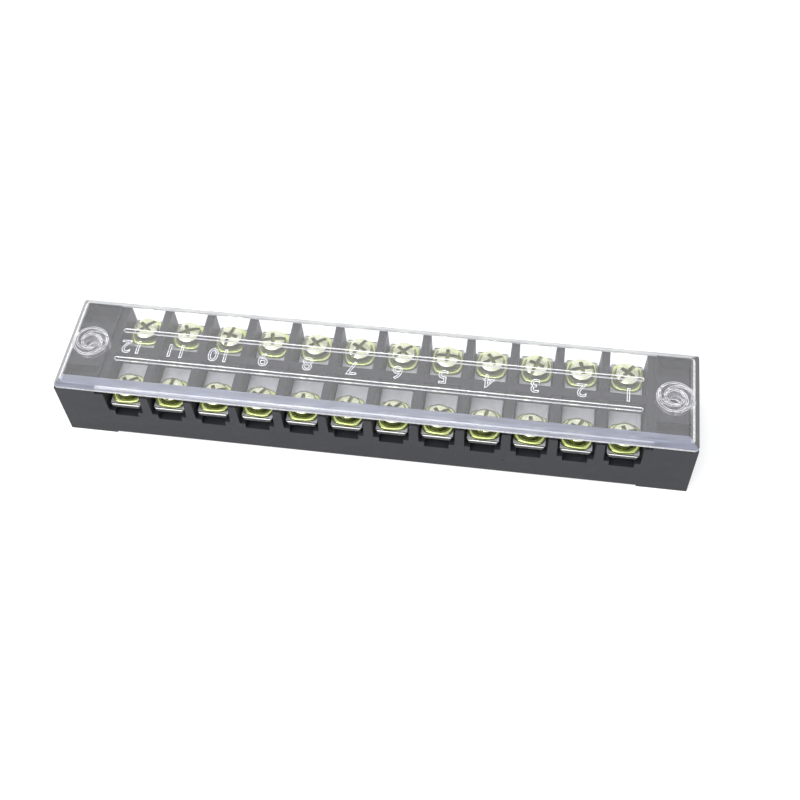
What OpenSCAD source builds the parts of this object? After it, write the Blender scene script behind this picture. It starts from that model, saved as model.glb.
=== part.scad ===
// Barrier terminal strip: a moulded base with open wiring pockets along both long
// sides, one plated bar through the spine at each pole, a clamp screw with a captive
// square washer at each end of every bar, and a clear cover that plugs into the two
// mounting wells. The origin is the centre of the underside; -Y is the front row.

/* [Row] */
// Number of poles
poles = 12; // [2:1:12]
// Distance from one pole to the next
pitch = 8.7; // [7.6:0.1:12]
// Width of a wiring pocket at the top of its barriers
pocket_w = 7.1; // [6.7:0.05:7.4]
// How much narrower a pocket is at its floor, from mould draft
pocket_draft = 0.3; // [0:0.05:0.4]

/* [Base] */
// Depth of the base, front face to back face
base_w = 21.6; // [20:0.1:28]
// Height of the end blocks
block_h = 13.9; // [12.6:0.1:20]
// How far the barriers and spine stop below the end blocks
barrier_drop = 0.8; // [0:0.05:1]
// Length of each raised end block
block_l = 8.1; // [8:0.1:14]
// Thickness of the wall between an end block and the first pocket
end_wall = 1.5; // [1.5:0.1:3]
// Thickness of the spine between the two rows
spine_t = 1.84; // [1.2:0.02:2.4]
// Height of the ledge that carries the bars
seat_z = 8.7; // [8:0.1:9.2]
// How far the pocket floor drops in front of that ledge
sill_drop = 0.8; // [0:0.1:1.2]
// How far the front edge of that ledge lies behind the face
sill_depth = 1.5; // [0.5:0.1:2]
// Width of the clearance slot under each bar
slot_w = 4.64; // [4:0.04:5.2]
// Depth of that slot below the ledge
slot_d = 2.15; // [1:0.05:3]
// Length of that slot from the face
slot_l = 7.4; // [6.4:0.1:8]
// Height of the relief under the middle of the base
relief = 0.45; // [0:0.05:1]

/* [Mounting] */
// Distance from each end of the base to its mounting hole
mount_inset = 4.6; // [4.4:0.1:7]
// Diameter of the mounting holes
mount_d = 4.2; // [3:0.1:4.8]
// Diameter of the well that holds the mounting screw's head and the cover's plug
well_d = 7.2; // [6.6:0.1:7.6]
// Depth of that well below the end block's top
well_depth = 5; // [3:0.1:6]
// Length of the moulding recesses beside the well
core_l = 6.2; // [4:0.1:6.6]
// Width of those recesses
core_w = 3.9; // [2:0.1:4]
// Depth of those recesses
core_depth = 2.6; // [0.5:0.1:4]
// Distance from the long centre line to the middle of each recess
core_y = 7.15; // [6:0.05:7.4]

/* [Bars] */
// Width of a conductor bar
bar_w = 6.2; // [5.6:0.1:6.3]
// Thickness of a conductor bar
bar_t = 0.8; // [0.6:0.1:1.2]
// How far each end of a bar lies behind the face
bar_setback = 0.45; // [0.2:0.05:1]
// Radius of a bar's corners
bar_corner_r = 0.7; // [0.3:0.1:1.2]
// Clearance above a bar in the spine
bar_gap = 0.05; // [0:0.01:0.1]

/* [Clamp screws] */
// Distance from the long centre line to each row of screws
screw_y = 6.9; // [6.6:0.05:7.2]
// Outer diameter of the screw's thread
screw_d = 2.9; // [2.5:0.1:3.2]
// Length of the screw below its head
screw_l = 6; // [4:0.5:6]
// Diameter of the head
head_d = 5; // [4.4:0.1:5.6]
// Height of the straight side of the head
head_side = 1.15; // [0.8:0.05:1.4]
// Height of the whole head
head_h = 1.9; // [1.5:0.05:2.1]
// Width of the driving slots
drive_w = 0.8; // [0.6:0.05:1]
// Depth of the driving slots
drive_depth = 1; // [0.6:0.05:1.2]
// Diameter of the plain neck under the head that holds the washer
neck_d = 2.5; // [2:0.1:2.6]
// Running clearance between screw and bore, on the radius
screw_gap = 0.05; // [0.02:0.01:0.1]

/* [Washers] */
// Width across the flats of a square washer
washer_w = 6.2; // [5.6:0.1:6.2]
// Diameter that its corners are rounded to
washer_corner_d = 7.1; // [6.6:0.1:7.4]
// Thickness of a washer
washer_t = 0.6; // [0.4:0.05:0.8]
// Depth of the dish around the head
dish_depth = 0.12; // [0.05:0.01:0.15]
// Width of that dish around the head
dish_margin = 0.15; // [0.1:0.05:0.2]

/* [Cover] */
// Height of the cover above the end blocks
cover_h = 2.1; // [1.8:0.1:4]
// Thickness of the cover's top
cover_t = 1.2; // [0.8:0.1:1.3]
// Thickness of the cover's rim
rim_t = 1.1; // [0.8:0.1:1.3]
// Height of the straight lip at the foot of the rim
lip_h = 0.5; // [0.3:0.1:0.8]
// How far the bevel runs in above that lip
bevel = 1.9; // [1:0.1:2.5]
// Radius of the cover's upright corners
cover_corner_r = 0.8; // [0.4:0.1:1]
// Distance from the long centre line to each rail under the top
rail_y = 3.45; // [3:0.05:3.8]
// Width of a rail
rail_w = 0.75; // [0.5:0.05:1]
// Height of a rail
rail_h = 0.4; // [0.2:0.05:0.5]
// Thickness of the arms and ring of the plug
plug_wall = 0.42; // [0.3:0.02:0.6]
// Clearance between the plug and its well
plug_gap = 0.12; // [0.05:0.01:0.3]
// Depth of the plug below the end block's top
plug_depth = 2; // [1:0.1:2.4]
// Diameter of the plug's hub
hub_d = 3.7; // [3:0.1:3.9]
// Width of the split through the hub
hub_split = 0.5; // [0.3:0.05:0.8]

/* [Hidden] */
$fn = 64;
eps = 0.01;
past = 1;                                   // how far a cutter runs past a face
rows = ["front", "back"];

row_l = (poles - 1) * pitch + pocket_w;
foot_l = block_l + end_wall;
base_l = row_l + 2 * foot_l;
barrier_h = block_h - barrier_drop;
cover_top = block_h + cover_h;
cover_under = cover_top - cover_t;
mount_x = base_l / 2 - mount_inset;
bar_l = base_w - 2 * bar_setback;
bar_top = seat_z + bar_t;
washer_top = bar_top + washer_t;
head_seat = washer_top - dish_depth;
bore_r = screw_d / 2 + screw_gap;
tip_gap = 0.45;                             // clearance round the screw's tip
tip_r = screw_d / 2 + tip_gap;
tip_room = 0.5;                             // space below that tip
tip_cone = 0.4;                             // the screw's pointed tip
cross_l = 0.62 * head_d;                    // length of the cross recess
long_slot_depth = 0.7 * drive_depth;        // the slot across the whole head
bar_bevel = 0.12;
spine_slot_d = 2 * spine_t;                 // cuts well past both sides of the spine
plug_r = well_d / 2 - plug_gap;
arm_r = (plug_r + hub_d / 2) / 2 - plug_wall / 4;
arm_offset = (plug_r - hub_d / 2) / 2 - plug_wall / 4;
arms = 3;
ring_split_turn = 25;                       // from each arm to the next split in the ring

// How far each washer is turned from square in its pocket, pole 1 first
washer_turn = [
    [4, -3, -5, 2, -2, 5, -4, 3, -5, 4, -3, 5],
    [-4, 3, 5, -5, 4, -2, 3, 6, -3, 5, -6, 3]];
// How far each screw is turned, pole 1 first
screw_turn = [
    [20, 65, 10, 80, 35, 50, 75, 5, 60, 25, 85, 40],
    [55, 15, 70, 30, 0, 45, 62, 38, 12, 78, 24, 48]];

function pole_x(p) = ((poles + 1) / 2 - p) * pitch;
function row_sign(r) = r == 0 ? -1 : 1;

// Puts a screw or washer at its pole: r is 0 for the front row and 1 for the back
module at_pole(r, p) {
    translate([pole_x(p), row_sign(r) * screw_y, 0]) children();
}

// A rectangle with rounded corners, centred
module rounded_plan(l, w, r) {
    square([l - 2 * r, w], center = true);
    square([l, w - 2 * r], center = true);
    for (x = [-1, 1], y = [-1, 1])
        translate([x * (l / 2 - r), y * (w / 2 - r)]) circle(r = r);
}

// A flat outline in X and Z, given a length along Y
module along_y(l) {
    rotate([90, 0, 0]) linear_extrude(l, center = true) children();
}

// A flat outline in Y and Z, given a length along X
module along_x(l) {
    rotate([90, 0, 90]) linear_extrude(l, center = true) children();
}

// ---------------------------------------------------------------- base

// Side elevation of the moulding: two raised ends, a lower middle and two feet
module base_outline() {
    end = base_l / 2;
    step = row_l / 2 + end_wall;
    polygon([
        [-end, 0], [-end + foot_l, 0], [-end + foot_l, relief],
        [end - foot_l, relief], [end - foot_l, 0], [end, 0],
        [end, block_h], [step, block_h], [step, barrier_h],
        [-step, barrier_h], [-step, block_h], [-end, block_h]]);
}

// Front elevation of a wiring pocket, wider at the top
module pocket_front() {
    floor_z = seat_z - sill_drop;
    top = barrier_h + past;
    lean = pocket_draft / 2 * (top - floor_z) / (barrier_h - floor_z);
    foot = (pocket_w - pocket_draft) / 2;
    polygon([[-foot, floor_z], [foot, floor_z], [foot + lean, top], [-foot - lean, top]]);
}

// Cross-section of a pocket: the lower sill at the face, the ledge, the spine
module pocket_section() {
    face = base_w / 2;
    sill = face - sill_depth;
    top = barrier_h + past;
    polygon([
        [-face - past, seat_z - sill_drop], [-sill, seat_z - sill_drop], [-sill, seat_z],
        [-spine_t / 2, seat_z], [-spine_t / 2, top], [-face - past, top]]);
}

// Everything that one terminal takes out of the base, on the front side
module terminal_cut() {
    face = base_w / 2;
    intersection() {
        along_y(base_w + 2 * past) pocket_front();
        along_x(pocket_w + past) pocket_section();
    }
    translate([-slot_w / 2, -face - past, seat_z - slot_d])
        cube([slot_w, slot_l + past, slot_d + past / 2]);
    translate([0, -screw_y, head_seat - screw_l - tip_room])
        cylinder(r = tip_r, h = screw_l);
}

// Mounting hole, its well, and the two moulding recesses of one end block
module end_cut() {
    translate([0, 0, -past]) cylinder(d = mount_d, h = block_h + 2 * past);
    translate([0, 0, block_h - well_depth]) cylinder(d = well_d, h = well_depth + past);
    for (y = [-1, 1])
        translate([-core_l / 2, y * core_y - core_w / 2, block_h - core_depth])
            cube([core_l, core_w, core_depth + past]);
}

module base() {
    color([0.32, 0.32, 0.34]) difference() {
        along_y(base_w) base_outline();
        for (p = [1 : poles]) translate([pole_x(p), 0, 0]) {
            terminal_cut();
            rotate(180) terminal_cut();
            translate([-bar_w / 2 - bar_gap, -spine_slot_d / 2, seat_z])
                cube([bar_w + 2 * bar_gap, spine_slot_d, bar_t + bar_gap]);
        }
        for (x = [-1, 1]) translate([x * mount_x, 0, 0]) end_cut();
    }
}

// ---------------------------------------------------------------- conductors

// A bar's outline with its long edges eased on top
module eased_outline(w) {
    b = bar_bevel;
    polygon([[-w / 2, 0], [w / 2, 0], [w / 2, bar_t - b], [w / 2 - b, bar_t],
        [-w / 2 + b, bar_t], [-w / 2, bar_t - b]]);
}

module conductor_bar() {
    difference() {
        intersection() {
            linear_extrude(bar_t) rounded_plan(bar_w, bar_l, bar_corner_r);
            along_y(bar_l) eased_outline(bar_w);
            along_x(bar_w) eased_outline(bar_l);
        }
        for (y = [-1, 1]) translate([0, y * screw_y, -past])
            cylinder(r = bore_r, h = bar_t + 2 * past);
    }
}

module conductor_bars() {
    color([0.80, 0.80, 0.78])
        for (p = [1 : poles]) translate([pole_x(p), 0, seat_z]) conductor_bar();
}

// ---------------------------------------------------------------- clamp screws

// Half section of the screw, from its tip to the crown of the head
module screw_profile() {
    r = head_d / 2;
    rise = head_h - head_side;
    crown = (r * r + rise * rise) / (2 * rise);
    arc = asin(r / crown);
    steps = 8;
    polygon(concat(
        [[0, -screw_l], [screw_d / 2 - tip_cone, -screw_l], [screw_d / 2, tip_cone - screw_l],
         [screw_d / 2, -washer_t], [neck_d / 2, -washer_t], [neck_d / 2, 0], [r, 0]],
        [for (i = [0 : steps]) let (a = arc * (1 - i / steps))
            [crown * sin(a), head_h - crown + crown * cos(a)]]));
}

// Cross recess with one long slot, cut into the crown
module drive_cut() {
    long = head_d + past;
    translate([-long / 2, -drive_w / 2, head_h - long_slot_depth])
        cube([long, drive_w, drive_depth + past]);
    translate([-drive_w / 2, -cross_l / 2, head_h - drive_depth])
        cube([drive_w, cross_l, drive_depth + past]);
    translate([-cross_l / 2, -drive_w / 2, head_h - drive_depth])
        cube([cross_l, drive_w, drive_depth + past]);
}

module clamp_screw(r, p) {
    color([0.78, 0.80, 0.45]) at_pole(r, p)
        translate([0, 0, head_seat]) rotate(screw_turn[r][p - 1]) difference() {
            rotate_extrude() screw_profile();
            drive_cut();
        }
}

// ---------------------------------------------------------------- washers

module clamp_washer(r, p) {
    neck_bore_r = neck_d / 2 + screw_gap;
    color([0.74, 0.76, 0.48]) at_pole(r, p)
        translate([0, 0, bar_top]) rotate(washer_turn[r][p - 1]) difference() {
            linear_extrude(washer_t) intersection() {
                square(washer_w, center = true);
                circle(d = washer_corner_d);
            }
            translate([0, 0, -past]) cylinder(r = neck_bore_r, h = washer_t + 2 * past);
            translate([0, 0, washer_t - dish_depth])
                cylinder(r = head_d / 2 + dish_margin, h = dish_depth + past);
        }
}

// ---------------------------------------------------------------- cover

// Elevation of the cover: straight lip, bevel and flat top, l long and inset by t
module cover_elevation(l, t, top) {
    foot = block_h - (t > 0 ? past : 0);
    half = l / 2 - t;
    run = bevel * (top - block_h - lip_h) / (cover_h - lip_h);
    polygon([[-half, foot], [half, foot], [half, block_h + lip_h],
        [half - run, top], [-half + run, top], [-half, block_h + lip_h]]);
}

// The cover's outer form, or the hollow in it where t is the rim's thickness
module cover_form(t, top) {
    intersection() {
        along_y(base_w) cover_elevation(base_l, t, top);
        along_x(base_l) cover_elevation(base_w, t, top);
        translate([0, 0, block_h - past]) linear_extrude(cover_h + 2 * past)
            rounded_plan(base_l - 2 * t, base_w - 2 * t, cover_corner_r);
    }
}

// Section of the plug: a ring, a split hub, and arms that swirl from hub to ring
module plug_section() {
    difference() {
        circle(r = plug_r);
        circle(r = plug_r - plug_wall);
        for (a = [0 : arms - 1]) rotate(a * 360 / arms + ring_split_turn)
            translate([0, -hub_split / 2]) square([well_d, hub_split]);
    }
    difference() {
        circle(d = hub_d);
        circle(d = hub_d - 2 * plug_wall);
        square([well_d, hub_split], center = true);
    }
    for (a = [0 : arms - 1]) rotate(a * 360 / arms) intersection() {
        translate([arm_offset, 0]) difference() {
            circle(r = arm_r + plug_wall / 2);
            circle(r = arm_r - plug_wall / 2);
        }
        translate([-well_d, 0]) square([2 * well_d, well_d]);
    }
}

// A rail under the top, with round ends
module rail() {
    rail_l = row_l - 2 * rail_w;
    translate([0, 0, cover_under - rail_h]) linear_extrude(rail_h + eps) {
        square([rail_l - rail_w, rail_w], center = true);
        for (x = [-1, 1]) translate([x * (rail_l - rail_w) / 2, 0]) circle(d = rail_w);
    }
}

module cover() {
    plug_foot = block_h - plug_depth;
    color([0.80, 0.82, 0.90, 0.45]) {
        difference() {
            cover_form(0, cover_top);
            cover_form(rim_t, cover_under);
        }
        for (y = [-1, 1]) translate([0, y * rail_y, 0]) rail();
        for (x = [-1, 1]) translate([x * mount_x, 0, plug_foot])
            linear_extrude(cover_under - plug_foot + eps) plug_section();
    }
}

base();
cover();
conductor_bars();
for (r = [0, 1], p = [1 : poles]) {
    clamp_screw(r, p);
    clamp_washer(r, p);
}
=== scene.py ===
"""Looks of the barrier terminal strip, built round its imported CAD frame."""

import math

import bmesh
import bpy
from mathutils import Matrix, Vector


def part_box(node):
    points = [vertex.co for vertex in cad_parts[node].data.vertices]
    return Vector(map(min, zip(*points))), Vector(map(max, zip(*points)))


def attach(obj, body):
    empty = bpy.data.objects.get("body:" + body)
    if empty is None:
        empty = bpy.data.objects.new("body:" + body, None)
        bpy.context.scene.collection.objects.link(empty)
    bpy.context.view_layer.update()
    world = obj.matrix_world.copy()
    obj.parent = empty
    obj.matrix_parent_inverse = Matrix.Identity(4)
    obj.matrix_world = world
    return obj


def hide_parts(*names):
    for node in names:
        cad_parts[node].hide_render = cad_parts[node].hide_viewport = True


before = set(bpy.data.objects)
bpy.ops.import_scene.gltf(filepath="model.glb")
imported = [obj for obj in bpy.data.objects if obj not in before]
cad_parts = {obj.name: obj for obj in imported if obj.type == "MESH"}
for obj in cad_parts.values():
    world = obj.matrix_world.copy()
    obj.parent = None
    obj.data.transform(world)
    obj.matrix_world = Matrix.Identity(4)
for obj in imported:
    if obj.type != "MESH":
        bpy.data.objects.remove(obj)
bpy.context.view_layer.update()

MM = 0.001
POLES = range(1, 13)
ROWS = ("front", "back")
SIDE = {"front": -1.0, "back": 1.0}
UPRIGHT, LEVEL = 0.3, 0.97  # a face's normal.z is below the first, or above the second
CAD_WELD, RING_WELD, GLYPH_WELD = 0.002, 0.0005, 0.001  # how near points are joined

# How far each screw and washer is turned, in degrees, pole 1 first
SCREW_TURN = {
    "front": (20, 65, 10, 80, 35, 50, 75, 5, 60, 25, 85, 40),
    "back": (55, 15, 70, 30, 0, 45, 62, 38, 12, 78, 24, 48),
}
WASHER_TURN = {
    "front": (4, -3, -5, 2, -2, 5, -4, 3, -5, 4, -3, 5),
    "back": (-4, 3, 5, -5, 4, -2, 3, 6, -3, 5, -6, 3),
}


# ------------------------------------------------------------------ node helpers


class Nodes:
    """A short way to write a node tree for a new material or world."""

    def __init__(self, owner, output="ShaderNodeOutputMaterial"):
        self.owner = owner
        owner.use_nodes = True
        self.tree = owner.node_tree
        self.tree.nodes.clear()
        self.out = self.tree.nodes.new(output)

    def put(self, socket, value):
        """Links another node's socket, or sets a plain value."""
        if isinstance(value, bpy.types.NodeSocket):
            self.tree.links.new(value, socket)
        else:
            socket.default_value = value

    def add(self, kind, values=None, **props):
        node = self.tree.nodes.new(kind)
        for key, value in props.items():
            setattr(node, key, value)
        for key, value in (values or {}).items():
            self.put(node.inputs[key], value)
        return node

    def coords(self, scale=(1, 1, 1)):
        """Object coordinates in millimetres, stretched by scale."""
        where = self.add("ShaderNodeTexCoord").outputs["Object"]
        factors = [s / MM for s in scale]
        return self.add("ShaderNodeMapping", {"Vector": where, "Scale": factors}).outputs["Vector"]

    def noise(self, vector, scale, detail=4.0, rough=0.55, distortion=0.0):
        return self.add(
            "ShaderNodeTexNoise",
            {
                "Vector": vector,
                "Scale": scale,
                "Detail": detail,
                "Roughness": rough,
                "Distortion": distortion,
            },
        ).outputs["Fac"]

    def ramp(self, factor, low, high, out_low=0.0, out_high=1.0):
        return self.add(
            "ShaderNodeMapRange",
            {
                "Value": factor,
                "From Min": low,
                "From Max": high,
                "To Min": out_low,
                "To Max": out_high,
            },
        ).outputs["Result"]

    def blend(self, factor, a, b):
        """Mixes two colours."""
        return self.add("ShaderNodeMix", {0: factor, 6: a, 7: b}, data_type="RGBA").outputs[2]

    def bump(self, height, strength, distance, normal=None):
        values = {"Height": height, "Strength": strength, "Distance": distance * MM}
        if normal is not None:
            values["Normal"] = normal
        return self.add("ShaderNodeBump", values).outputs["Normal"]

    def math(self, operation, a, b=0.0):
        return self.add("ShaderNodeMath", {0: a, 1: b}, operation=operation).outputs[0]

    def mix(self, factor, a, b):
        """Mixes two shaders."""
        return self.add("ShaderNodeMixShader", {0: factor, 1: a.outputs[0], 2: b.outputs[0]})

    def lit_through(self, shader, color):
        """The shader, but lamps shine through it, tinted with color."""
        lamp = self.add("ShaderNodeBsdfTransparent", {"Color": color})
        return self.mix(self.add("ShaderNodeLightPath").outputs["Is Shadow Ray"], shader, lamp)

    def seen_plainly(self):
        """1 for rays from the camera, from gloss and through glass."""
        path = self.add("ShaderNodeLightPath").outputs
        seen = self.math("MAXIMUM", path["Is Camera Ray"], path["Is Glossy Ray"])
        return self.math("MAXIMUM", seen, path["Is Transmission Ray"])

    def finish(self, shader):
        self.put(self.out.inputs["Surface"], shader.outputs[0])
        return self.owner


def new_material(name):
    return Nodes(bpy.data.materials.new(name))


# ------------------------------------------------------------------ materials

POLYCARBONATE_IOR = 1.585


def base_plastic():
    """Dark moulded plastic: fine spark-eroded grain, faint flow marks, rubbed patches."""
    n = new_material("base_plastic")
    p = n.coords()
    grain = n.noise(p, 7.0, 3.0, 0.6)
    flow = n.noise(n.coords((0.05, 0.5, 0.5)), 1.6, 3.0, 0.5, 0.6)
    rub = n.ramp(n.noise(p, 0.35, 5.0, 0.62), 0.52, 0.72)
    tone = n.blend(flow, (0.016, 0.017, 0.022, 1), (0.024, 0.025, 0.031, 1))
    tone = n.blend(n.math("MULTIPLY", rub, 0.25), tone, (0.05, 0.051, 0.058, 1))
    rough = n.ramp(grain, 0.3, 0.7, 0.40, 0.56)
    shader = n.add(
        "ShaderNodeBsdfPrincipled",
        {
            "Base Color": tone,
            "Roughness": rough,
            "IOR": 1.5,
            "Specular IOR Level": 0.36,
            "Normal": n.bump(grain, 0.2, 0.012),
        },
    )
    return n.finish(shader)


def clear_plastic(name, roughness, tint):
    """Clear plastic that bends light, and lets lamps through to what is under it."""
    n = new_material(name)
    ripple = n.noise(n.coords((0.12, 0.5, 0.5)), 1.0, 2.0, 0.5)
    glass = n.add(
        "ShaderNodeBsdfPrincipled",
        {
            "Base Color": tint,
            "Roughness": roughness,
            "IOR": POLYCARBONATE_IOR,
            "Transmission Weight": 1.0,
            "Coat Weight": 1.0,
            "Coat Roughness": 0.03,
            "Coat IOR": 1.6,
            "Normal": n.bump(ripple, 0.06, 0.02),
        },
    )
    return n.finish(n.lit_through(glass, (0.93, 0.93, 0.96, 1)))


def textured_plastic(name, haze, haze_tint, roughness, streaks, glow=0.0):
    """Clear plastic with a fine mould texture, so that it looks milky.

    haze is the share of milk, and glow is emission in the milk, a painted glint on an edge.
    """
    n = new_material(name)
    lines = n.noise(n.coords(streaks), 1.0, 5.0, 0.7, 0.3)
    share = n.ramp(lines, 0.3, 0.7, haze * 0.7, min(1.0, haze * 1.25))
    uneven = n.ramp(n.noise(n.coords((0.045, 0.2, 0.2)), 1.0, 2.0, 0.5), 0.35, 0.65, 0.82, 1.0)
    share = n.math("MULTIPLY", share, uneven)
    glass = n.add(
        "ShaderNodeBsdfPrincipled",
        {
            "Base Color": (0.97, 0.97, 0.99, 1),
            "Roughness": roughness,
            "IOR": POLYCARBONATE_IOR,
            "Transmission Weight": 1.0,
            "Normal": n.bump(lines, 0.3, 0.03),
        },
    )
    dim = [v * 0.82 for v in haze_tint] + [1]
    bright = [min(1.0, v * 1.3) for v in haze_tint] + [1]
    tone = n.blend(n.ramp(lines, 0.35, 0.65), dim, bright)
    milk = n.add(
        "ShaderNodeBsdfPrincipled",
        {
            "Base Color": tone,
            "Roughness": 0.4,
            # Emission paints a glint into the milk.
            "Emission Color": (1, 1, 1, 1),
            "Emission Strength": glow,
        },
    )
    return n.finish(n.lit_through(n.mix(share, glass, milk), (0.80, 0.80, 0.84, 1)))


def plating(name, light, dark, tint, roughness, brushed, metallic=1.0, dented=0.25):
    """Plated metal: mottled colour, fine brushing and small dents.

    light and dark are the mottling, tint is in patches, and brushed stretches the brushing.
    """
    light, dark, tint = ((*colour, 1) for colour in (light, dark, tint))
    n = new_material(name)
    p = n.coords()
    cloud = n.ramp(n.noise(p, 0.45, 4.0, 0.6, 0.4), 0.35, 0.68)
    tone = n.blend(cloud, light, dark)
    patch = n.ramp(n.noise(p, 0.9, 3.0, 0.5, 1.2), 0.58, 0.72)
    tone = n.blend(n.math("MULTIPLY", patch, 0.45), tone, tint)
    lines = n.noise(n.coords(brushed), 3.0, 4.0, 0.65)
    rough = n.ramp(lines, 0.25, 0.75, roughness * 0.7, roughness * 1.35)
    dents = n.noise(p, 1.3, 3.0, 0.5)
    normal = n.bump(dents, dented, 0.05)
    normal = n.bump(lines, 0.18, 0.01, normal)
    shader = n.add(
        "ShaderNodeBsdfPrincipled",
        {"Base Color": tone, "Metallic": metallic, "Roughness": rough, "Normal": normal},
    )
    return n.finish(shader)


PAINTED_GLINT_TINT = (0.92, 0.92, 0.97)
ALONG_ROW, ALL_WAYS, ALONG_SHANK = (0.2, 4.5, 4.5), (1.5, 1.5, 1.5), (3, 3, 0.4)

MATERIAL = {
    "base_plastic": base_plastic(),
    "cover_plastic": clear_plastic("cover_plastic", 0.03, (0.955, 0.96, 0.99, 1)),
    # Both bevels have the same frosting; the front's milk is tinted dark blue-grey as painted shade, the
    # back's pale as a painted reflection of the backdrop.
    "cover_front_bevel_painted_shade": textured_plastic("cover_front_bevel_painted_shade", 0.66, (0.33, 0.35, 0.45), 0.3, ALONG_ROW),
    "cover_back_bevel_painted_light": textured_plastic("cover_back_bevel_painted_light", 0.7, (0.80, 0.81, 0.85), 0.28, ALONG_ROW),
    # Painted glint: near-white milk on the cover's lips, standing in for the thin white line of light
    # along them.
    "cover_lip_painted_glint": textured_plastic("cover_lip_painted_glint", 0.85, PAINTED_GLINT_TINT, 0.2, ALL_WAYS),
    # Painted glint: near-white milk that also glows, on rail and plug rims, their glint beads and the pole
    # numbers.
    "cover_glowing_painted_glint": textured_plastic("cover_glowing_painted_glint", 0.85, PAINTED_GLINT_TINT, 0.2, ALL_WAYS, glow=0.4),
    # Painted glint: a faint lilac milk on the plug walls, standing in for the light caught in them.
    "cover_plug_faint_painted_glint": textured_plastic("cover_plug_faint_painted_glint", 0.07, (0.84, 0.82, 0.92), 0.12, (2.5, 2.5, 2.5)),
    "bar_plating": plating(
        "bar_plating",
        light=(0.64, 0.65, 0.66),
        dark=(0.52, 0.53, 0.54),
        tint=(0.60, 0.59, 0.55),
        roughness=0.35,
        brushed=(6, 0.3, 6),
        metallic=0.45,
    ),
    # Painted highlight: a near-white copy of the bar plating on the bars' eased edges, standing in for
    # their glint.
    "bar_edge_painted_highlight": plating(
        "bar_edge_painted_highlight",
        light=(0.97, 0.97, 0.96),
        dark=(0.92, 0.92, 0.91),
        tint=(0.95, 0.94, 0.90),
        roughness=0.3,
        brushed=(6, 6, 6),
        metallic=0.9,
        dented=0.1,
    ),
    # Painted shade: a near-black copy of the bar plating on the bars' upright sides and on the strip of
    # top face before each washer.
    "bar_side_painted_shade": plating(
        "bar_side_painted_shade",
        light=(0.11, 0.11, 0.115),
        dark=(0.06, 0.06, 0.065),
        tint=(0.16, 0.15, 0.13),
        roughness=0.4,
        brushed=(0.4, 6, 6),
    ),
    "screw_plating": plating(
        "screw_plating",
        light=(0.97, 0.98, 0.74),
        dark=(0.80, 0.85, 0.46),
        tint=(0.86, 0.76, 0.42),
        roughness=0.17,
        brushed=(3, 3, 3),
        metallic=0.8,
        dented=0.2,
    ),
    # Painted shade: a much darker olive copy of the screw plating inside the driver recess.
    "screw_recess_painted_shade": plating(
        "screw_recess_painted_shade",
        light=(0.30, 0.31, 0.10),
        dark=(0.15, 0.17, 0.05),
        tint=(0.46, 0.34, 0.12),
        roughness=0.4,
        brushed=(3, 3, 3),
    ),
    # Painted shade: a near-black copy of the plating on the heads' flanks and on the washers' lower flanks
    # and bores.
    "screw_flank_painted_shade": plating(
        "screw_flank_painted_shade",
        light=(0.055, 0.06, 0.02),
        dark=(0.03, 0.035, 0.012),
        tint=(0.20, 0.21, 0.08),
        roughness=0.3,
        brushed=ALONG_SHANK,
    ),
    "washer_plating": plating(
        "washer_plating",
        light=(0.84, 0.93, 0.40),
        dark=(0.68, 0.80, 0.25),
        tint=(0.86, 0.82, 0.42),
        roughness=0.2,
        brushed=(3, 3, 3),
        metallic=0.8,
        dented=0.15,
    ),
}


# ------------------------------------------------------------------ mesh helpers


def linked(name, data):
    """A new object in the scene."""
    thing = bpy.data.objects.new(name, data)
    bpy.context.scene.collection.objects.link(thing)
    return thing


def new_piece(name, mesh, body, materials):
    """Links a mesh, made in the CAD's frame, as a piece that rides on a body."""
    piece = linked(name, mesh)
    kinds = [face.material_index for face in mesh.polygons]
    mesh.materials.clear()
    for material in materials:
        mesh.materials.append(MATERIAL[material])
    mesh.polygons.foreach_set("material_index", [k if k < len(materials) else 0 for k in kinds])
    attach(piece, body)
    return piece


def circle(r, z, count):
    angles = [2 * math.pi * i / count for i in range(count)]
    return [(r * math.cos(a), r * math.sin(a), z) for a in angles]


def ring_mesh(rings, closed_start=True, closed_end=True):
    """A closed mesh skinned over rings of equally many points, in metres."""
    bm = bmesh.new()
    loops = [[bm.verts.new(Vector(p) * MM) for p in ring] for ring in rings]
    count = len(rings[0])
    for low, high in zip(loops, loops[1:]):
        for i in range(count):
            j = (i + 1) % count
            bm.faces.new((low[i], low[j], high[j], high[i]))
    if closed_start:
        bm.faces.new(tuple(reversed(loops[0])))
    if closed_end:
        bm.faces.new(tuple(loops[-1]))
    return bm


def solid(bm, name):
    """Finishes a bmesh as a mesh with outward faces."""
    bmesh.ops.recalc_face_normals(bm, faces=bm.faces)
    mesh = bpy.data.meshes.new(name)
    bm.to_mesh(mesh)
    bm.free()
    return mesh


def evaluated(data, *modifiers):
    """The mesh of a mesh or curve with modifiers applied; each is (type, settings)."""
    holder = linked("holder", data)
    for kind, settings in modifiers:
        modifier = holder.modifiers.new(kind.lower(), kind)
        for key, value in settings.items():
            setattr(modifier, key, value)
    bpy.context.view_layer.update()
    shown = holder.evaluated_get(bpy.context.evaluated_depsgraph_get())
    result = bpy.data.meshes.new_from_object(shown)
    bpy.data.objects.remove(holder)
    return result


def cut(mesh, cutters, *after):
    """The mesh less each cutter mesh, then any further modifiers."""
    tools = [linked("tool", cutter) for cutter in cutters]
    steps = [("BOOLEAN", {"operation": "DIFFERENCE", "object": tool, "solver": "EXACT"}) for tool in tools]
    result = evaluated(mesh, *steps, *after)
    for tool in tools:
        bpy.data.objects.remove(tool)
    return result


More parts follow.
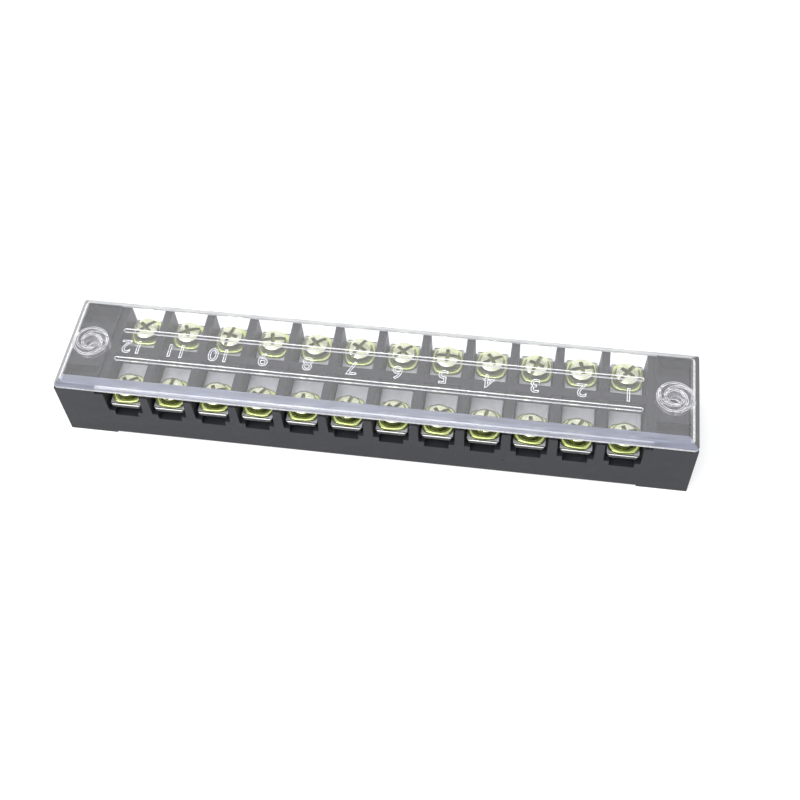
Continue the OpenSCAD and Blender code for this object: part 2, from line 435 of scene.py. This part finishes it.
def smooth(mesh, degrees=35):
    """Smooth shading, with edges over this angle kept sharp."""
    bm = bmesh.new()
    bm.from_mesh(mesh)
    for face in bm.faces:
        face.smooth = True
    limit = math.radians(degrees)
    for edge in bm.edges:
        edge.smooth = len(edge.link_faces) == 2 and edge.calc_face_angle(0) < limit
    bm.to_mesh(mesh)
    bm.free()
    return mesh


def sorted_faces(mesh, kind):
    """Gives each face the material that kind(face) names by its index."""
    for face in mesh.polygons:
        face.material_index = kind(face)
    return mesh


def levelled(mesh):
    """Normals that keep large faces flat right up to their eased edges."""
    return evaluated(mesh, ("WEIGHTED_NORMAL", {"mode": "FACE_AREA", "weight": 100, "keep_sharp": True}))


def eased(width, degrees):
    """A modifier that rounds the edges over an angle by width mm."""
    settings = {
        "width": width * MM,
        "segments": 2,
        "limit_method": "ANGLE",
        "angle_limit": math.radians(degrees),
    }
    return "BEVEL", settings


def cleaned(node, bevel):
    """A CAD node's mesh as one skin of large flat faces, its edges eased by bevel mm."""
    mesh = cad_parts[node].data.copy()
    bm = bmesh.new()
    bm.from_mesh(mesh)
    bmesh.ops.remove_doubles(bm, verts=bm.verts, dist=CAD_WELD * MM)
    flat = math.radians(0.6)
    bmesh.ops.dissolve_limit(
        bm, angle_limit=flat, verts=bm.verts, edges=bm.edges, use_dissolve_boundaries=False
    )
    bm.to_mesh(mesh)
    bm.free()
    for attribute in [x for x in mesh.attributes if x.name == "custom_normal"]:
        mesh.attributes.remove(attribute)
    return evaluated(mesh, eased(bevel, 30))


def turned(mesh, degrees, place=(0, 0, 0)):
    """A copy of the mesh, turned about Z and then moved, in metres."""
    copy = mesh.copy()
    copy.transform(Matrix.Translation(place) @ Matrix.Rotation(math.radians(degrees), 4, "Z"))
    return copy


def place_in_rows(kind, mesh, turns, seat, materials):
    """One piece for each pole of both rows; seat(low, high) is the height of the mesh's origin."""
    for row in ROWS:
        for pole, turn in zip(POLES, turns[row]):
            name = f"{row}_{kind}_{pole}"
            low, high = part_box(name)
            place = ((low.x + high.x) / 2, (low.y + high.y) / 2, seat(low, high))
            piece = new_piece(f"clamp_{name}", turned(mesh, turn, place), name, materials)
            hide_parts(name)


# ------------------------------------------------------------------ base

MARK_X, MARK_Z, MARK_R, MARK_DEPTH = 25.7, 4.46, 0.3, 0.14
MARK_OUTSIDE = 0.5  # how far the cutter starts before the face


def mark_cutter():
    """A shallow cone for the mould mark on the front face."""
    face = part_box("base")[0].y / MM
    rings = []
    for y, r in ((face - MARK_OUTSIDE, 2.5 * MARK_R), (face + MARK_DEPTH, 0.3 * MARK_R)):
        rings.append([(MARK_X + x, y, MARK_Z + z) for x, z, _ in circle(r, 0, 16)])
    return solid(ring_mesh(rings), "mark")


base_mesh = levelled(smooth(cut(cleaned("base", 0.12), [mark_cutter()])))
base_piece = new_piece("base_moulding", base_mesh, "base", ["base_plastic"])
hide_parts("base")


# ------------------------------------------------------------------ clamp screws

HEAD_R, HEAD_SIDE, HEAD_H = 2.5, 1.35, 1.9
CROWN_POWER, CROWN_FALL = 2.6, 0.72  # the crown is flat in the middle and falls steeply at its rim
SHANK_R, NECK_R, TIP_R, SHANK_L, NECK_L = 1.45, 1.25, 0.7, 6.0, 0.6
THREAD_PITCH, THREAD_DEPTH, THREAD_TAPER = 0.5, 0.28, 2.6
TIP_FADE, NECK_FADE = 0.5, 0.35  # lengths over which the thread runs out
CROSS_L, CROSS_W, CROSS_DEPTH, CROSS_DRAFT = 3.2, 0.86, 1.0, 0.14
SLOT_L, SLOT_W, SLOT_DEPTH, SLOT_DRAFT = 5.6, 0.8, 0.72, 0.05
CUTTER_TOP = HEAD_H + 1
RECESS_MARGIN = 0.12  # a face this far under the crown is in the recess
SCREW_SIDES = 40


def crown_height(r):
    return HEAD_SIDE + (HEAD_H - HEAD_SIDE) * max(0.0, 1 - (r / HEAD_R) ** CROWN_POWER) ** CROWN_FALL


def head_outline():
    """Radius and height of the head, from the neck under its rim to the middle of the crown."""
    outline = [(NECK_R, 0.0), (HEAD_R - 0.12, 0.0), (HEAD_R - 0.03, 0.04), (HEAD_R, 0.14)]
    outline += [(HEAD_R, 0.5), (HEAD_R, HEAD_SIDE - 0.22), (HEAD_R - 0.02, HEAD_SIDE - 0.10)]
    for step in range(1, 14):
        r = HEAD_R * math.cos(math.radians(6.4 * step)) ** 0.8
        outline.append((r, crown_height(r)))
    outline.append((0.12, HEAD_H))
    return outline


def shank_rings(count):
    """Rings of the threaded shank, from its tip up to the plain neck."""
    rings = []
    rows_per_turn = 8
    thread_l = SHANK_L - NECK_L
    rows = int(thread_l / THREAD_PITCH * rows_per_turn)
    for row in range(rows + 1):
        z = -SHANK_L + thread_l * row / rows
        ring = []
        for i in range(count):
            turn = i / count
            phase = ((z + SHANK_L) / THREAD_PITCH - turn) % 1.0
            ridge = max(0.0, 1.0 - abs(phase - 0.5) * THREAD_TAPER)
            fade = min(1.0, (z + SHANK_L) / TIP_FADE, (-NECK_L - z) / NECK_FADE + 0.02)
            r = SHANK_R - THREAD_DEPTH * (1.0 - ridge * max(fade, 0.0))
            a = 2 * math.pi * turn
            ring.append((r * math.cos(a), r * math.sin(a), z))
        rings.append(ring)
    rings.insert(0, circle(TIP_R, -SHANK_L, count))
    rings.append(circle(NECK_R, -NECK_L + 0.06, count))
    return rings


def wedge(length, width, top, bottom, draft):
    """A slot cutter, narrower at its foot."""
    rings = []
    for z, grow in ((bottom, -draft), (top, draft * 0.3)):
        half_l, half_w = length / 2 + grow, width / 2 + grow
        corners = ((-half_l, -half_w), (half_l, -half_w), (half_l, half_w), (-half_l, half_w))
        rings.append([(x, y, z) for x, y in corners])
    return solid(ring_mesh(rings), "wedge")


def screw_mesh():
    head = [circle(r, z, SCREW_SIDES) for r, z in head_outline()]
    body = solid(ring_mesh(shank_rings(SCREW_SIDES) + head), "screw")
    slot = wedge(SLOT_L, SLOT_W, CUTTER_TOP, HEAD_H - SLOT_DEPTH, SLOT_DRAFT)
    cross = wedge(CROSS_L, CROSS_W, CUTTER_TOP, HEAD_H - CROSS_DEPTH, CROSS_DRAFT)
    driven = cut(body, [slot, cross, turned(cross, 90)], eased(0.05, 38))
    return sorted_faces(smooth(driven, 40), screw_face_kind)


def screw_face_kind(face):
    """0 crown and shank, 1 recess in painted shade, 2 flank of the head in painted shade."""
    centre = face.center / MM
    r = math.hypot(centre.x, centre.y)
    if centre.z <= 0.02:
        return 0
    if abs(face.normal.z) < 0.35 and r > HEAD_R - 0.1:
        return 2
    return 1 if centre.z < crown_height(r) - RECESS_MARGIN else 0


place_in_rows(
    "screw",
    screw_mesh(),
    SCREW_TURN,
    lambda low, high: high.z - HEAD_H * MM,
    ["screw_plating", "screw_recess_painted_shade", "screw_flank_painted_shade"],
)


# ------------------------------------------------------------------ washers

WASHER_HALF, WASHER_CORNER_R, WASHER_T, WASHER_BORE_R = 3.1, 3.55, 0.6, 1.3
DISH_R, DISH_DEPTH = 2.65, 0.12
WASHER_POWER = 3.2  # of the superellipse: a square with full, round corners
WASHER_SIDES = 96


def washer_ring(inset, z, count):
    ring = []
    for i in range(count):
        a = 2 * math.pi * i / count
        spread = abs(math.cos(a)) ** WASHER_POWER + abs(math.sin(a)) ** WASHER_POWER
        r = min((WASHER_HALF - inset) / spread ** (1 / WASHER_POWER), WASHER_CORNER_R - inset)
        ring.append((r * math.cos(a), r * math.sin(a), z))
    return ring


def washer_face_kind(face):
    """0 top, underside and upper rim, 1 shaded flank and bore."""
    return 1 if abs(face.normal.z) < UPRIGHT and face.center.z < (WASHER_T - 0.15) * MM else 0


def washer_mesh():
    count, t = WASHER_SIDES, WASHER_T
    rings = [
        circle(WASHER_BORE_R, 0.0, count),
        washer_ring(0.14, 0.0, count),
        washer_ring(0.05, 0.03, count),
        washer_ring(0.0, 0.12, count),
        washer_ring(0.0, t - 0.16, count),
        washer_ring(0.04, t - 0.06, count),
        washer_ring(0.12, t, count),
        circle(DISH_R + 0.06, t, count),
        circle(DISH_R, t - 0.03, count),
        circle(DISH_R - 0.06, t - DISH_DEPTH, count),
        circle(WASHER_BORE_R, t - DISH_DEPTH, count),
        circle(WASHER_BORE_R, 0.0, count),
    ]
    bm = ring_mesh(rings, False, False)
    bmesh.ops.remove_doubles(bm, verts=bm.verts, dist=RING_WELD * MM)
    return sorted_faces(smooth(solid(bm, "washer"), 50), washer_face_kind)


place_in_rows(
    "washer", washer_mesh(), WASHER_TURN, lambda low, high: low.z, ["washer_plating", "screw_flank_painted_shade"]
)


# ------------------------------------------------------------------ conductor bars

# Past this line the bars' top faces take painted shade.
WASHER_EDGE_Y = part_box("back_screw_1")[0].y + (HEAD_R + WASHER_HALF) * MM


def bar_face_kind(face):
    """0 top and underside, 1 eased edge in painted highlight, 2 upright side and the strip of top before a
    washer, both in painted shade.
    """
    rise = abs(face.normal.z)
    if rise < UPRIGHT or (rise > LEVEL and abs(face.center.y) > WASHER_EDGE_Y):
        return 2
    return 0 if rise > LEVEL else 1


def lipped(mesh):
    """The mesh with an edge loop across each bar end, level with the washer's edge, where the painted
    shade on the bars' tops begins.
    """
    bm = bmesh.new()
    bm.from_mesh(mesh)
    for side in (-1, 1):
        every = list(bm.verts) + list(bm.edges) + list(bm.faces)
        edge = (0, side * WASHER_EDGE_Y, 0)
        bmesh.ops.bisect_plane(bm, geom=every, plane_co=edge, plane_no=(0, 1, 0))
    bm.to_mesh(mesh)
    bm.free()
    return mesh


bars_mesh = sorted_faces(levelled(smooth(lipped(cleaned("conductor_bars", 0.1)))), bar_face_kind)
bars_piece = new_piece(
    "plated_bars", bars_mesh, "base", ["bar_plating", "bar_edge_painted_highlight", "bar_side_painted_shade"]
)
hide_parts("conductor_bars")


# ------------------------------------------------------------------ cover

COVER_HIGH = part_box("cover")[1]
SEAM_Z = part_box("base")[1].z
COVER_T = 1.2
UNDER_Z = COVER_HIGH.z - COVER_T * MM
HALF_W = COVER_HIGH.y
BEVEL_W, LIP_T, LIP_H = 2.4, 0.3, 0.6
PLUG_REACH, RAIL_REACH = 0.22, 0.175  # how far outside a plug or rail its faces are looked for
BELOW = 0.02  # slack above the top's underside
PLUG_X = 56.4 * MM
PLUG_FOOT_Z = SEAM_Z - 2.0 * MM
PLUG_R, PLUG_WALL, HUB_R, SPLIT, ARMS, SPLIT_TURN = 3.48, 0.42, 1.85, 0.5, 3, 25
RAIL_Y, RAIL_H, RAIL_HALF_L, RAIL_HALF_W = 3.45, 0.4, 50.65, 0.375
BEAD_R, FINE_BEAD_R = 0.052, 0.032


def cover_face_kind(face):
    """0 clear, 1 front bevel, frosted with painted shade, 2 lips, a painted glint, 3 plug walls, a faint
    painted glint, 4 back bevel, frosted with painted light, 5 rims of rails and plugs, a glowing painted
    glint.
    """
    c = face.calc_center_median()
    across, rise = abs(face.normal.y), abs(face.normal.z)
    near_plug = Vector((abs(c.x) - PLUG_X, c.y)).length < (PLUG_R + PLUG_REACH) * MM
    near_rail = abs(abs(c.y) - RAIL_Y * MM) < (RAIL_HALF_W + RAIL_REACH) * MM
    if (near_plug or near_rail) and c.z < UNDER_Z + BELOW * MM:
        return 5 if 0.15 < rise < LEVEL else 3 if near_plug else 0
    if abs(c.y) > HALF_W - BEVEL_W * MM and across > 0.3 and rise > 0.3:
        return 1 if c.y < 0 else 4
    if rise < 0.2 and c.z < SEAM_Z + LIP_H * MM and abs(c.y) > HALF_W - LIP_T * MM:
        return 2
    return 0


def cover_mesh():
    mesh = cleaned("cover", 0.1)
    bm = bmesh.new()
    bm.from_mesh(mesh)
    for face in bm.faces:
        face.material_index = cover_face_kind(face)
    bm.to_mesh(mesh)
    bm.free()
    return levelled(smooth(mesh, 60))


cover_piece = new_piece(
    "clear_cover",
    cover_mesh(),
    "cover",
    ["cover_plastic", "cover_front_bevel_painted_shade", "cover_lip_painted_glint", "cover_plug_faint_painted_glint", "cover_back_bevel_painted_light", "cover_glowing_painted_glint"],
)
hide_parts("cover")


def arc(centre, r, start, end, turn=0.0, steps=28):
    """Points along an arc, in millimetres, turned about the origin."""
    points = []
    for i in range(steps + 1):
        a = math.radians(start + (end - start) * i / steps)
        x, y = centre + r * math.cos(a), r * math.sin(a)
        c, s = math.cos(math.radians(turn)), math.sin(math.radians(turn))
        points.append((x * c - y * s, x * s + y * c))
    return points


def band(centre, r, half, start, end, turn):
    """The outline of a curved wall with its middle at r."""
    return arc(centre, r + half, start, end, turn) + arc(centre, r - half, end, start, turn)


def plug_outlines():
    """Outlines of a plug's walls: a ring in three parts, three swirled arms and a split hub."""
    half = PLUG_WALL / 2 - FINE_BEAD_R
    loops = []
    ring_r, hub_r = PLUG_R - PLUG_WALL / 2, HUB_R - PLUG_WALL / 2
    arm_r = (PLUG_R + HUB_R) / 2 - PLUG_WALL / 4
    arm_offset = (PLUG_R - HUB_R) / 2 - PLUG_WALL / 4
    gap = math.degrees(math.asin(SPLIT / 2 / ring_r)) + 1
    hub_gap = math.degrees(math.asin(SPLIT / 2 / hub_r)) + 2
    step = 360 / ARMS
    for arm in range(ARMS):
        loops.append(band(0, ring_r, half, gap, step - gap, arm * step + SPLIT_TURN))
        loops.append(band(arm_offset, arm_r, half, 2, 178, arm * step))
    for side in (0, 180):
        loops.append(band(0, hub_r, half, hub_gap, 180 - hub_gap, side))
    return loops


def rail_outline():
    """The outline of a rail: two long sides and two round ends."""
    end = RAIL_HALF_L - RAIL_HALF_W
    r = RAIL_HALF_W - BEAD_R
    right = [(end + x, y) for x, y in arc(0, r, -90, 90, 0, 10)]
    left = [(x - end, y) for x, y in arc(0, r, 90, 270, 0, 10)]
    return [right + left]


def beads(name, loops, levels, place, radius):
    """Fine rounded tubes of glowing milk along a moulded outline, a painted glint on its edges."""
    curve = bpy.data.curves.new(name, "CURVE")
    curve.dimensions = "3D"
    curve.bevel_depth = radius * MM
    curve.bevel_resolution = 1
    for z in levels:
        for loop in loops:
            spline = curve.splines.new("POLY")
            spline.points.add(len(loop) - 1)
            for point, (x, y) in zip(spline.points, loop):
                point.co = (place[0] + x * MM, place[1] + y * MM, z, 1)
            spline.use_cyclic_u = True
    new_piece(name, smooth(evaluated(curve), 80), "cover", ["cover_glowing_painted_glint"])


# Glint beads: glowing tubes that paint the glints along the rails' and plugs' edges.
rail_z = UNDER_Z - (RAIL_H - BEAD_R) * MM
plug_levels = (UNDER_Z - FINE_BEAD_R * MM, PLUG_FOOT_Z + FINE_BEAD_R * MM)
for label, side in (("left", -1), ("right", 1)):
    beads(f"plug_edge_glints_{label}", plug_outlines(), plug_levels, (side * PLUG_X, 0), FINE_BEAD_R)
for row in ROWS:
    beads(f"rail_edge_glints_{row}", rail_outline(), (rail_z,), (0, SIDE[row] * RAIL_Y * MM), BEAD_R)


NUMERAL_SIZE, NUMERAL_GAP, NUMERAL_LINE_R, NUMERAL_Y = 4.25, 1.12, 0.07, -0.3


def numeral(text, x, y):
    """A pole number moulded on the cover's underside, drawn as outline tubes of glowing milk, a painted
    glint on the digits' edges; it reads from the back row.
    """
    curve = bpy.data.curves.new("numeral", "FONT")
    curve.body = text
    curve.size = NUMERAL_SIZE * MM
    curve.space_character = NUMERAL_GAP
    curve.align_x, curve.align_y = "CENTER", "CENTER"
    # Outline tubes only: the digits' edges as painted glints.
    curve.fill_mode = "NONE"
    curve.bevel_depth = NUMERAL_LINE_R * MM
    curve.bevel_resolution = 1
    curve.resolution_u = 4
    mesh = evaluated(curve)
    place = Matrix.Translation((x, y, UNDER_Z - (NUMERAL_LINE_R + 0.005) * MM))
    mesh.transform(place @ Matrix.Rotation(math.pi, 4, "Z"))
    bm = bmesh.new()
    bm.from_mesh(mesh)
    bmesh.ops.remove_doubles(bm, verts=bm.verts, dist=GLYPH_WELD * MM)
    bm.to_mesh(mesh)
    bm.free()
    return mesh


for pole in POLES:
    low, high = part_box(f"front_screw_{pole}")
    mesh = numeral(str(pole), (low.x + high.x) / 2, NUMERAL_Y * MM)
    new_piece(f"pole_number_{pole}", mesh, "cover", ["cover_glowing_painted_glint"])


# ------------------------------------------------------------------ stage, light, camera


FLOOR_R = 3.0
SENSOR_W, LENS = 36, 52.8107
CAMERA_PLACE = (0.0291608, -0.1300403, 0.1952328)
CAMERA_RIGHT = Vector((0.98945923, 0.14123863, -0.03196999))
CAMERA_DOWN = Vector((0.09787762, -0.81497647, -0.57116839))
WHITE = (1, 1, 1, 1)


def make_floor():
    """A pale floor that the camera, gloss and glass see as white, with the object's shadow."""
    n = new_material("floor")
    cloud = n.noise(n.coords(), 0.02, 2.0, 0.5)
    tone = n.blend(cloud, (0.80, 0.80, 0.80, 1), (0.82, 0.82, 0.82, 1))
    matte = n.add("ShaderNodeBsdfDiffuse", {"Color": tone})
    strength = n.math("MULTIPLY", n.seen_plainly(), 0.5)
    glow = n.add("ShaderNodeEmission", {"Color": WHITE, "Strength": strength})
    material = n.finish(n.add("ShaderNodeAddShader", {0: matte.outputs[0], 1: glow.outputs[0]}))
    mesh = bpy.data.meshes.new("floor")
    bm = bmesh.new()
    bmesh.ops.create_circle(bm, cap_ends=True, segments=64, radius=FLOOR_R)
    bm.to_mesh(mesh)
    bm.free()
    mesh.materials.append(material)
    linked("floor", mesh)


def make_world():
    """A plain pale room, white where the camera, gloss and glass see it."""
    world = bpy.data.worlds.new("studio")
    bpy.context.scene.world = world
    n = Nodes(world, "ShaderNodeOutputWorld")
    plain = n.add("ShaderNodeBackground", {"Color": (0.93, 0.96, 1.0, 1), "Strength": 0.62})
    white = n.add("ShaderNodeBackground", {"Color": WHITE, "Strength": 1.0})
    n.finish(n.mix(n.seen_plainly(), plain, white))


def area_light(name, place, aim, size, power, color):
    data = bpy.data.lights.new(name, "AREA")
    data.shape = "RECTANGLE"
    data.size, data.size_y = size
    data.energy = power
    data.color = color
    lamp = linked(name, data)
    lamp.location = Vector(place)
    lamp.rotation_euler = (Vector(aim) - Vector(place)).to_track_quat("-Z", "Y").to_euler()


def make_camera():
    data = bpy.data.cameras.new("camera")
    data.sensor_width = SENSOR_W
    data.lens = LENS
    data.clip_start, data.clip_end = 0.01, 20
    camera = linked("camera", data)
    ahead = CAMERA_RIGHT.cross(CAMERA_DOWN)
    turn = Matrix((CAMERA_RIGHT, -CAMERA_DOWN, -ahead)).transposed().to_4x4()
    camera.matrix_world = Matrix.Translation(CAMERA_PLACE) @ turn
    bpy.context.scene.camera = camera


make_floor()
make_world()
area_light("key", (-0.25, -0.35, 0.75), aim=(0, 0, 0), size=(0.7, 0.5), power=5.0, color=(1.0, 0.99, 0.97))
make_camera()
bpy.context.scene.view_settings.view_transform = "Standard"
